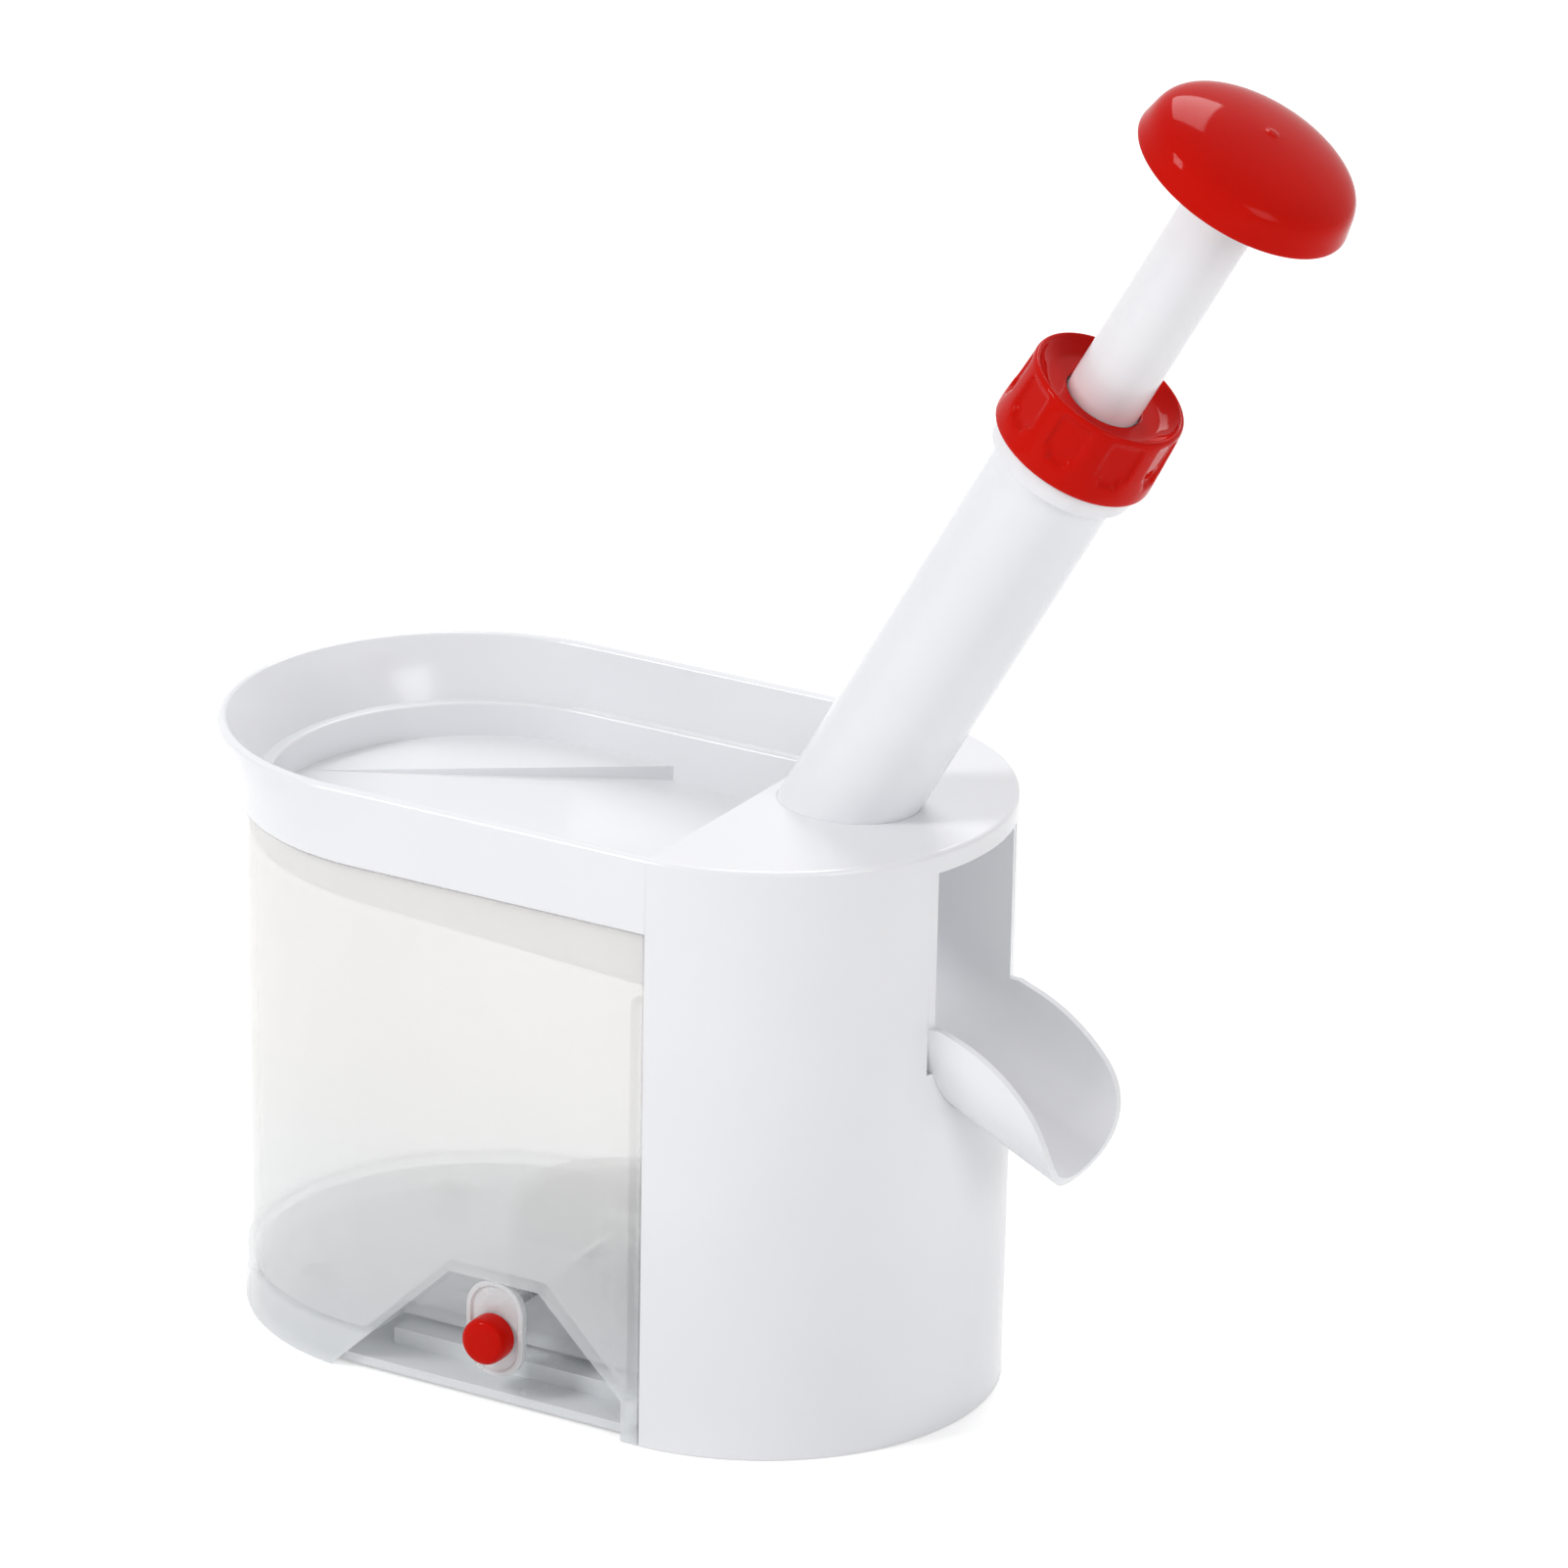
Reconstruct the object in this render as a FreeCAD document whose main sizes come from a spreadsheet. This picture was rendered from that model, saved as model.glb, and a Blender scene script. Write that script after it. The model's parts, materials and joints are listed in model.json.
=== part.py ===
import FreeCAD, Part
import os
import re
import Sketcher

# Cherry pitter: a pit container on a suction foot, a lift-off housing with a hopper tray,
# a leaning barrel with a sprung plunger, and a chute for the pitted fruit.
# Origin: centre of the stadium footprint on the table. +X runs to the chute end, +Z is up.
# Barrel pieces are drawn upright about their own Z axis and then leaned; a height in them
# is measured along the barrel from the point where its axis meets the deck.

vector = FreeCAD.Vector
doc = FreeCAD.newDocument("cherry_pitter")

# Driving dimensions in millimetres and degrees
sizes = {
    # footprint and walls
    "endRadius": 52.5,
    "endOffset": 34,
    "wall": 1.8,
    "skirtWall": 2.2,
    "seamX": 36,
    "seamGap": 0.4,
    "gap": 0.3,
    "looseFit": 0.05,
    "sideDraft": 0.46,
    "endDraft": 1.1,
    "containerTop": 115.2,
    "floorUnder": 8,
    "floorThick": 2,
    # suction foot
    "domeRadius": 24,
    "domeTop": 28.5,
    "duct": 8,
    "alcoveTop": 29,
    "alcoveHalf": 11,
    "alcoveSpread": 41,
    "alcoveBack": 36,
    "alcoveEdge": 31.5,
    "plateBottom": 0.8,
    "plateThick": 2,
    "hatRadius": 32.5,
    "hatTop": 7.3,
    "stepHigh": 3.8,
    "stepDeep": 5,
    "stepIn": 9,
    "hubRadius": 8,
    "hubTop": 5,
    "cupRadius": 29,
    "bossRadius": 4,
    "screwRadius": 1.5,
    "bossFar": 60,
    "bossSide": 27,
    "bossNear": 25,
    "bossInset": 2.8,
    "padRadius": 5,
    "padEndInset": 5,
    "padBackInset": 1.5,
    "padFrontInset": 6.5,
    # suction lever
    "axleHeight": 21.5,
    "axleRadius": 1.6,
    "axleRear": 8.5,
    "camRadius": 3.2,
    "camThrow": 1.5,
    "camPlay": 0.5,
    "camWidth": 5,
    "leverRound": 7,
    "leverReach": 7.5,
    "leverThick": 2,
    "leverSink": 0.3,
    "buttonRadius": 5.25,
    "buttonLong": 5.5,
    "buttonDrop": 4.9,
    "stemRadius": 3,
    # container openings
    "railTop": 99.4,
    "railWidth": 3.8,
    "notchHalf": 17.5,
    "notchBottom": 76,
    # hopper tray
    "rimTop": 132,
    "bandGap": 0.4,
    "rimFlare": 6.6,
    "ledgeTop": 118.7,
    "trayRadius": 47.6,
    "trayOffset": 36.8,
    "ledgeWidth": 2.6,
    "floorHigh": 111,
    "floorLow": 105,
    "feedHalf": 12.5,
    "feedLeft": 20,
    "rimWall": 2.6,
    "rimRound": 1.0,
    "rimInnerRound": 0.8,
    "ledgeRound": 0.6,
    "rampLeft": 80,
    "rampAngle": 35,
    # housing and deck
    "shellWall": 2.2,
    "deckThick": 2.5,
    "mouthTop": 127.4,
    "mouthSill": 92.7,
    # chute
    "chuteRadius": 17.8,
    "chuteSlope": 25.6,
    "chuteStartX": 45.5,
    "chuteStartZ": 91.4,
    "chuteTipX": 109.8,
    "chuteTipZ": 59.6,
    "chuteRise": 4,
    "lipX": 84.4,
    "lipZ": 93.1,
    "noseX": 92,
    "noseZ": 91,
    "noseRadius": 40,
    "brinkX": 106.5,
    "brinkZ": 80.4,
    "brinkRadius": 19,
    # barrel
    "lean": 30,
    "footX": 54.4,
    "footZ": 133.1,
    "barrelRadius": 13.6,
    "boreRadius": 11.5,
    "barrelBottom": -13,
    "barrelTop": 98.5,
    "neckRadius": 13,
    "neckLong": 12.3,
    "ringRadius": 16.1,
    "ringHeight": 4.6,
    "guideThick": 2,
    # collar
    "collarRadius": 17.9,
    "collarTopRadius": 17.1,
    "collarCap": 1.6,
    "brimWidth": 1.5,
    "dishRadius": 12.6,
    "dishDepth": 2.8,
    "gripCount": 9,
    "gripDepth": 16.75,
    "gripHalf": 4.3,
    "gripRise": 4.4,
    # plunger
    "shaftRadius": 8.1,
    "shaftWall": 2,
    "pistonThick": 4,
    "bushLong": 4.8,
    "rodRadius": 5,
    "rodBottom": 35,
    "needleRadius": 2.2,
    "needleTip": -12,
    "stripperThick": 1.5,
    "knobRim": 171.6,
    "knobRadius": 23.8,
    "knobSide": 5.9,
    "knobTaper": 0.8,
    "knobTop": 184,
    "knobWall": 2.4,
    "knobDome": 62,
    "wireRadius": 0.75,
    "coilRadius": 9.7,
    "coilTurns": 12,
    # cherry seat
    "seatTop": -42,
    "seatBottom": -49,
    "seatRadius": 12.4,
    "pitHole": 6,
}

sheet = doc.addObject("Spreadsheet::Sheet", "dim")
for row, (alias, size) in enumerate(sizes.items(), start=1):
    sheet.set(f"A{row}", alias)
    sheet.set(f"B{row}", str(size))
    sheet.setAlias(f"B{row}", alias)
doc.recompute()

pieces = []


# places that follow from other sizes: the lever's face, the boss by the rear wall,
# and heights up the barrel
lever_face = "(endRadius-leverSink)"
boss_back = "(endRadius-skirtWall-bossRadius-bossInset)"
neck_top = "(barrelTop+neckLong)"
dish_floor = f"({neck_top}+gap+collarCap)"
collar_top = f"({dish_floor}+dishDepth)"
collar_bottom = "(barrelTop+gap)"
grip_bottom = f"({collar_bottom}+gripRise)"
piston_top = f"({neck_top}-bushLong-gap)"


def bound(formula):
    """The formula with every size name pointing at its sheet cell."""
    return re.sub(r"[A-Za-z]\w*", lambda m: f"dim.{m[0]}" if m[0] in sizes else m[0], str(formula))


def number(formula):
    """What a formula of sheet sizes comes to now."""
    return float(sheet.evalExpression(bound(formula)))


def bind(item, name, formula):
    """Ties one property of an object to a formula of sheet sizes."""
    item.setExpression(name, bound(formula))


def new_piece(label, leaned=False):
    """An empty body for one separate piece; a leaned one stands on the barrel's foot point."""
    body = doc.addObject("PartDesign::Body", label)
    body.Label = label
    if leaned:
        body.Placement = FreeCAD.Placement(vector(0, 0, 0), FreeCAD.Rotation(vector(0, 1, 0), 1))
        bind(body, "Placement.Base.x", "footX")
        bind(body, "Placement.Base.z", "footZ")
        bind(body, "Placement.Rotation.Angle", "lean")
    pieces.append(body)
    return body


def sketch_on(body, name, plane="XY_Plane", offset=None, turn=None):
    """A sketch on an origin plane, moved by an offset along its own axes and turned about one."""
    sketch = body.newObject("Sketcher::SketchObject", f"{body.Label}_{name}")
    support = [item for item in body.Origin.OriginFeatures if item.Role == plane][0]
    sketch.AttachmentSupport = (support, [""])
    sketch.MapMode = "FlatFace"
    if turn:
        axis, angle = turn
        # any turn but zero keeps the axis
        sketch.AttachmentOffset = FreeCAD.Placement(vector(0, 0, 0), FreeCAD.Rotation(axis, 1))
        bind(sketch, "AttachmentOffset.Rotation.Angle", angle)
    for axis_name, formula in (offset or {}).items():
        bind(sketch, f"AttachmentOffset.Base.{axis_name}", formula)
    return sketch


def outline(sketch, corners):
    """A closed outline. A corner is (x, y), or (x, y, radius) when an arc leads to it;
    a positive radius turns left and a negative one turns right."""
    places = [(number(corner[0]), number(corner[1])) for corner in corners]
    count = len(corners)
    first = sketch.GeometryCount
    for index in range(count):
        start = vector(*places[index], 0)
        following = (index + 1) % count
        end = vector(*places[following], 0)
        if len(corners[following]) == 3:
            radius = number(corners[following][2])
            chord = end - start
            rise = max(radius * radius - chord.Length ** 2 / 4, 0) ** 0.5
            normal = vector(-chord.y, chord.x, 0).normalize() * (1 if radius > 0 else -1)
            centre = (start + end) * 0.5 + normal * rise
            middle = centre - normal * abs(radius)
            sketch.addGeometry(Part.Arc(start, middle, end), False)
        else:
            sketch.addGeometry(Part.LineSegment(start, end), False)
    for index in range(count):
        following = (index + 1) % count
        left_turn = len(corners[following]) < 3 or number(corners[following][2]) > 0
        begins, ends = (1, 2) if left_turn else (2, 1)
        after = (following + 1) % count
        next_left = len(corners[after]) < 3 or number(corners[after][2]) > 0
        next_begins = 1 if next_left else 2
        sketch.addConstraint(
            Sketcher.Constraint("Coincident", first + index, ends, first + following, next_begins))
        for kind, formula, place in (("DistanceX", corners[index][0], places[index][0]),
                                     ("DistanceY", corners[index][1], places[index][1])):
            mark = sketch.addConstraint(
                Sketcher.Constraint(kind, -1, 1, first + index, begins, place))
            bind(sketch, f"Constraints[{mark}]", formula)
        if len(corners[following]) == 3:
            radius = abs(number(corners[following][2]))
            mark = sketch.addConstraint(Sketcher.Constraint("Radius", first + index, radius))
            bind(sketch, f"Constraints[{mark}]", f"abs({corners[following][2]})")


def circle(sketch, radius, x="0", y="0"):
    """A circle with its centre and radius tied to the sheet."""
    index = sketch.addGeometry(
        Part.Circle(vector(number(x), number(y), 0), vector(0, 0, 1), number(radius)), False)
    mark = sketch.addConstraint(Sketcher.Constraint("Radius", index, number(radius)))
    bind(sketch, f"Constraints[{mark}]", radius)
    for kind, formula in (("DistanceX", x), ("DistanceY", y)):
        mark = sketch.addConstraint(Sketcher.Constraint(kind, -1, 1, index, 3, number(formula)))
        bind(sketch, f"Constraints[{mark}]", formula)


def left_end(offset, radius, edge):
    """Half a stadium: a round left end closed by a straight edge on the right."""
    return [(edge, radius), (f"-({offset})", radius), (f"-({offset})-({radius})", "0", radius),
            (f"-({offset})", f"-({radius})", radius), (edge, f"-({radius})")]


def right_end(offset, radius, edge):
    """The round right end of a stadium, cut off by a straight edge on the left."""
    half = f"sqrt(({radius})^2-({edge}-{offset})^2)"
    return [(edge, f"-{half}"), (f"{offset}+({radius})", "0", radius), (edge, half, radius)]


def box_outline(x_low, x_high, y_low, y_high):
    """The four corners of an upright rectangle."""
    return [(x_low, y_low), (x_high, y_low), (x_high, y_high), (x_low, y_high)]


def grow(body, kind, sketch, length="1", reverse=False, both=False):
    """A pad or a pocket of one sketch, by a length tied to the sheet."""
    feature = body.newObject(f"PartDesign::{kind}", f"{sketch.Name}_{kind.lower()}")
    feature.Profile = sketch
    bind(feature, "Length", length)
    feature.Reversed = reverse
    feature.Midplane = both
    doc.recompute()
    return feature


def turned(body, kind, sketch, axis="V_Axis"):
    """A full turn of a sketch about one of its own axes."""
    feature = body.newObject(f"PartDesign::{kind}", f"{sketch.Name}_{kind.lower()}")
    feature.Profile = sketch
    feature.ReferenceAxis = (sketch, [axis])
    feature.Angle = 360
    doc.recompute()
    return feature


def lofted(body, kind, sketches):
    """A loft through sketches, from the first to the last."""
    feature = body.newObject(f"PartDesign::{kind}", f"{sketches[0].Name}_{kind.lower()}")
    feature.Profile = sketches[0]
    feature.Sections = sketches[1:]
    doc.recompute()
    return feature


def rounded(body, radius, test):
    """A fillet on the edges of the body's last shape that pass a test."""
    base = body.Tip
    names = [f"Edge{i}" for i, edge in enumerate(base.Shape.Edges, start=1) if test(edge)]
    feature = body.newObject("PartDesign::Fillet", f"{base.Name}_round")
    feature.Base = (base, names)
    bind(feature, "Radius", radius)
    doc.recompute()
    return feature


def level_edges(height, tolerance=0.01):
    """A test for edges that lie wholly at one height."""
    return lambda edge: (abs(edge.BoundBox.ZMin - height) < tolerance
                         and abs(edge.BoundBox.ZMax - height) < tolerance)


def lathe(label, corners, leaned=True):
    """A round piece turned from its half section."""
    body = new_piece(label, leaned)
    section = sketch_on(body, "section", "XZ_Plane")
    outline(section, corners)
    turned(body, "Revolution", section)
    return body


def pit_container():
    """Clear cup with the lever alcove, the suction dome and a low wall towards the housing."""
    body = new_piece("pit_container")
    edge = "seamX-seamGap"
    bottom = sketch_on(body, "foot")
    outline(bottom, left_end("endOffset", "endRadius", edge))
    top = sketch_on(body, "mouth", offset={"z": "containerTop"})
    outline(top, left_end("endOffset+endDraft", "endRadius+sideDraft", edge))
    lofted(body, "AdditiveLoft", [bottom, top])
    share = "(floorUnder+floorThick)/containerTop"
    inner_low = sketch_on(body, "floor", offset={"z": "floorUnder+floorThick"})
    outline(inner_low, left_end(f"endOffset+endDraft*{share}", f"endRadius+sideDraft*{share}-wall",
                                f"{edge}-wall"))
    inner_top = sketch_on(body, "brim", offset={"z": "containerTop"})
    outline(inner_top, left_end("endOffset+endDraft", "endRadius+sideDraft-wall", f"{edge}-wall"))
    lofted(body, "SubtractiveLoft", [inner_low, inner_top])
    # vertical strips in the two corners by the housing
    for side in (1, -1):
        strip = sketch_on(body, f"strip{side + 1}", offset={"z": "floorUnder"})
        low, high = sorted((f"{side}*(endRadius-wall-3)", f"{side}*(endRadius-wall+0.5)"), key=number)
        outline(strip, box_outline(f"{edge}-railWidth", edge, low, high))
        grow(body, "Pad", strip, "railTop-floorUnder")
    # dome over the foot, duct for the axle and liner of the alcove
    dome = sketch_on(body, "dome", offset={"z": "floorUnder"})
    circle(dome, "domeRadius")
    grow(body, "Pad", dome, "domeTop-floorUnder")
    duct = sketch_on(body, "duct", offset={"z": "floorUnder"})
    outline(duct, box_outline("-duct", "duct", "-alcoveBack", "0"))
    grow(body, "Pad", duct, "domeTop-floorUnder")
    liner = sketch_on(body, "liner", "XZ_Plane", offset={"z": "endRadius-wall/2"})
    outline(liner, [("-alcoveSpread-wall*1.4", "0"), ("-alcoveHalf-wall*0.4", "alcoveTop+wall"),
                    ("alcoveHalf+wall*0.4", "alcoveTop+wall"),
                    ("alcoveEdge+wall", "alcoveTop-alcoveEdge+alcoveHalf+wall*0.4"),
                    ("alcoveEdge+wall", "0")])
    grow(body, "Pad", liner, "endRadius-alcoveBack+wall/2", reverse=True)
    hollow = sketch_on(body, "hollow")
    circle(hollow, "domeRadius-wall")
    grow(body, "Pocket", hollow, "domeTop-wall", reverse=True)
    tunnel = sketch_on(body, "tunnel")
    outline(tunnel, box_outline("wall-duct", "duct-wall", "wall-alcoveBack", "0"))
    grow(body, "Pocket", tunnel, "domeTop-wall", reverse=True)
    alcove = sketch_on(body, "alcove", "XZ_Plane", offset={"z": "alcoveBack"})
    outline(alcove, [("-alcoveSpread", "-1"), ("-alcoveSpread", "0"), ("-alcoveHalf", "alcoveTop"),
                     ("alcoveHalf", "alcoveTop"),
                     ("alcoveEdge", "alcoveTop-(alcoveEdge-alcoveHalf)*alcoveTop/(alcoveSpread-alcoveHalf)"),
                     ("alcoveEdge", "-1")])
    grow(body, "Pocket", alcove, "endRadius-alcoveBack+5", reverse=True)
    # hollow under the floor
    under = sketch_on(body, "under")
    outline(under, left_end("endOffset", "endRadius-skirtWall", f"{edge}-skirtWall"))
    grow(body, "Pocket", under, "floorUnder", reverse=True)
    # bearing lug behind the cam, and the axle's bore through lug and alcove wall
    lug = sketch_on(body, "lug", "XZ_Plane", offset={"z": "-(camWidth/2+gap+4)"})
    outline(lug, box_outline("-4", "4", "axleHeight-4", "domeTop-wall/2"))
    grow(body, "Pad", lug, "3")
    bore = sketch_on(body, "bore", "XZ_Plane", offset={"z": "alcoveBack+1"})
    circle(bore, "axleRadius+gap/2", "0", "axleHeight")
    grow(body, "Pocket", bore, "alcoveBack+axleRear+1")
    # screw bosses
    bosses = sketch_on(body, "bosses", offset={"z": "plateBottom+plateThick"})
    for x, y in boss_places():
        circle(bosses, "bossRadius", x, y)
    grow(body, "Pad", bosses, "floorUnder-plateBottom-plateThick+floorThick/2")
    holes = sketch_on(body, "holes", offset={"z": "plateBottom+plateThick"})
    for x, y in boss_places():
        circle(holes, "screwRadius", x, y)
    grow(body, "Pocket", holes, "floorUnder-plateBottom-plateThick", reverse=True)
    # low wall and notch where the pits drop in
    low_wall = sketch_on(body, "low_wall", offset={"z": "containerTop"})
    outline(low_wall, box_outline(f"{edge}-railWidth", "seamX+1", "wall-endRadius-sideDraft",
                                  "endRadius+sideDraft-wall"))
    grow(body, "Pocket", low_wall, "containerTop-railTop")
    notch = sketch_on(body, "notch", "YZ_Plane", offset={"z": "seamX+1"})
    outline(notch, [("notchHalf", "containerTop"), ("-notchHalf", "containerTop"),
                    ("-notchHalf", "notchBottom+notchHalf"), ("0", "notchBottom", "notchHalf"),
                    ("notchHalf", "notchBottom+notchHalf", "notchHalf")])
    grow(body, "Pocket", notch, "railWidth+wall+1")
    return body


def boss_places():
    """Where the three base screws stand."""
    return [("-bossFar", "bossSide"), ("-bossFar", "-bossSide"), ("bossNear", boss_back)]


def base_plate():
    """Plate that closes the foot, with a raised hat over the suction cup."""
    body = new_piece("base_plate")
    flange = sketch_on(body, "flange", offset={"z": "plateBottom"})
    outline(flange, left_end("endOffset", "endRadius-skirtWall-gap", "seamX-seamGap-skirtWall-gap"))
    grow(body, "Pad", flange, "plateThick")
    hat = sketch_on(body, "hat", offset={"z": "plateBottom"})
    circle(hat, "hatRadius")
    grow(body, "Pad", hat, "hatTop-plateBottom")
    well = sketch_on(body, "well")
    circle(well, "hatRadius-wall")
    grow(body, "Pocket", well, "hatTop-wall", reverse=True)
    hub = sketch_on(body, "hub")
    circle(hub, "hubRadius+2")
    grow(body, "Pocket", hub, "hatTop+1", reverse=True)
    holes = sketch_on(body, "holes")
    for x, y in boss_places():
        circle(holes, "screwRadius+gap", x, y)
    grow(body, "Pocket", holes, "plateBottom+plateThick+1", reverse=True)
    # low step along the back of the alcove
    step = sketch_on(body, "step", offset={"z": "plateBottom"})
    outline(step, box_outline("-alcoveSpread+stepIn", "alcoveEdge-1", "-alcoveBack-stepDeep",
                              "-hatRadius+2"))
    grow(body, "Pad", step, "plateThick+stepHigh")
    return body


def base_screws():
    """Three pan-head screws that hold the base plate to the bosses."""
    body = doc.addObject("Part::Compound", "base_screws")
    body.Label = "base_screws"
    screws = []
    for index, (x, y) in enumerate(boss_places()):
        head = doc.addObject("Part::Cylinder", f"screw_head{index}")
        bind(head, "Radius", "screwRadius*1.8")
        bind(head, "Height", "plateBottom-gap")
        bind(head, "Placement.Base.z", "gap")
        shank = doc.addObject("Part::Cylinder", f"screw_shank{index}")
        bind(shank, "Radius", "screwRadius-looseFit")
        bind(shank, "Height", "floorUnder-plateBottom-gap")
        bind(shank, "Placement.Base.z", "plateBottom-gap")
        for item in (head, shank):
            bind(item, "Placement.Base.x", x)
            bind(item, "Placement.Base.y", y)
        screw = doc.addObject("Part::Fuse", f"screw{index}")
        screw.Base = head
        screw.Tool = shank
        screws.append(screw)
    body.Links = screws
    pieces.append(body)
    return body


def foot_pads():
    """Three rubber pads under the base plate."""
    body = doc.addObject("Part::Compound", "foot_pads")
    body.Label = "foot_pads"
    pads = []
    reach = "endRadius-skirtWall-gap-padRadius"
    places = [(f"-(endOffset+{reach}-padEndInset)", "0"), ("bossNear", f"-({reach}-padFrontInset)"),
              ("-bossFar/2", f"{reach}-padBackInset")]
    for index, (x, y) in enumerate(places):
        pad = doc.addObject("Part::Cylinder", f"pad{index}")
        bind(pad, "Radius", "padRadius")
        bind(pad, "Height", "plateBottom")
        bind(pad, "Placement.Base.x", x)
        bind(pad, "Placement.Base.y", y)
        pads.append(pad)
    body.Links = pads
    pieces.append(body)
    return body


def suction_cup():
    """Rubber membrane that lies flat on the table, thicker towards its hub."""
    return lathe("suction_cup", [("0", "0"), ("cupRadius", "0"), ("cupRadius", "1.2"),
                                 ("hubRadius+4", "2.6"), ("hubRadius", "3"), ("hubRadius", "hubTop"),
                                 ("0", "hubTop")], leaned=False)


def suction_stem():
    """Stem that stands on the cup's hub, with a stirrup round the cam."""
    hole_low = "axleHeight-camThrow-camRadius-camPlay"
    hole_high = "axleHeight-camThrow+camRadius+camPlay"
    body = lathe("suction_stem", [("0", "hubTop"), ("hubRadius-1", "hubTop"), ("hubRadius-1", "hubTop+1.5"),
                                  ("stemRadius", "hubTop+1.5"), ("stemRadius", f"{hole_low}-1.5"),
                                  ("0", f"{hole_low}-1.5")], leaned=False)
    frame = sketch_on(body, "stirrup", "XZ_Plane")
    outline(frame, box_outline("-camRadius-gap-2", "camThrow+camRadius+gap+2", f"{hole_low}-2",
                               f"{hole_high}+1.5"))
    grow(body, "Pad", frame, "camWidth-1", both=True)
    window = sketch_on(body, "window", "XZ_Plane")
    outline(window, box_outline("-camRadius-gap", "camThrow+camRadius+gap", hole_low, hole_high))
    grow(body, "Pocket", window, "camWidth+1", both=True)
    return body


def lever_axle():
    """Pin from the lever through the alcove wall to the lug behind the cam."""
    body = new_piece("lever_axle")
    section = sketch_on(body, "section", "XZ_Plane", offset={"z": "-axleRear"})
    circle(section, "axleRadius", "0", "axleHeight")
    grow(body, "Pad", section, f"{lever_face}-leverThick/2+axleRear")
    return body


def lever_cam():
    """Eccentric disc inside the stirrup; its thick side hangs down with the lever."""
    body = new_piece("lever_cam")
    disc = sketch_on(body, "disc", "XZ_Plane")
    circle(disc, "camRadius", "0", "axleHeight-camThrow")
    grow(body, "Pad", disc, "camWidth", both=True)
    hole = sketch_on(body, "hole", "XZ_Plane")
    circle(hole, "axleRadius", "0", "axleHeight")
    grow(body, "Pocket", hole, "camWidth+1", both=True)
    return body


def axle_clip():
    """Push-on ring that keeps the axle behind the lug."""
    body = new_piece("axle_clip")
    ring = sketch_on(body, "ring", "XZ_Plane", offset={"z": "-axleRear+0.2"})
    circle(ring, "axleRadius+2", "0", "axleHeight")
    circle(ring, "axleRadius", "0", "axleHeight")
    grow(body, "Pad", ring, "1")
    return body


def suction_lever():
    """Tongue with round ends that hangs in the alcove, with a boss round the axle."""
    body = new_piece("suction_lever")
    low = "axleHeight-leverReach"
    tongue = sketch_on(body, "tongue", "XZ_Plane", offset={"z": f"{lever_face}-leverThick"})
    outline(tongue, [("leverRound", low, "leverRound"), ("leverRound", "axleHeight"),
                     ("0", "axleHeight+leverRound", "leverRound"),
                     ("-leverRound", "axleHeight", "leverRound"), ("-leverRound", low),
                     ("0", f"{low}-leverRound", "leverRound")])
    grow(body, "Pad", tongue, "leverThick")
    boss = sketch_on(body, "boss", "XZ_Plane", offset={"z": f"{lever_face}-leverThick-4"})
    circle(boss, "axleRadius+2", "0", "axleHeight")
    grow(body, "Pad", boss, "4")
    socket = sketch_on(body, "socket", "XZ_Plane", offset={"z": f"{lever_face}-leverThick/2"})
    circle(socket, "axleRadius", "0", "axleHeight")
    grow(body, "Pocket", socket, "leverThick/2+5")
    rounded(body, "0.6", lambda edge: abs(edge.BoundBox.YMin + number(lever_face)) < 0.01
            and abs(edge.BoundBox.YMax + number(lever_face)) < 0.01)
    return body


def lever_button():
    """Round push button on the lever's face."""
    body = new_piece("lever_button")
    disc = sketch_on(body, "disc", "XZ_Plane", offset={"z": lever_face})
    circle(disc, "buttonRadius", "0", "axleHeight-buttonDrop")
    grow(body, "Pad", disc, "buttonLong")
    front = -number(f"{lever_face}+buttonLong")
    rounded(body, "buttonRadius*0.3", lambda edge: abs(edge.BoundBox.YMax - front) < 0.01)
    return body


def tray_sections(body, name, steps):
    """Sketches of the left end at rising heights: each step is height, offset and radius."""
    sketches = []
    for index, (height, offset, radius) in enumerate(steps):
        level = sketch_on(body, f"{name}{index}", offset={"z": height})
        outline(level, left_end(offset, radius, "seamX" if name == "band" else "seamX+1"))
        sketches.append(level)
    return sketches


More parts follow.
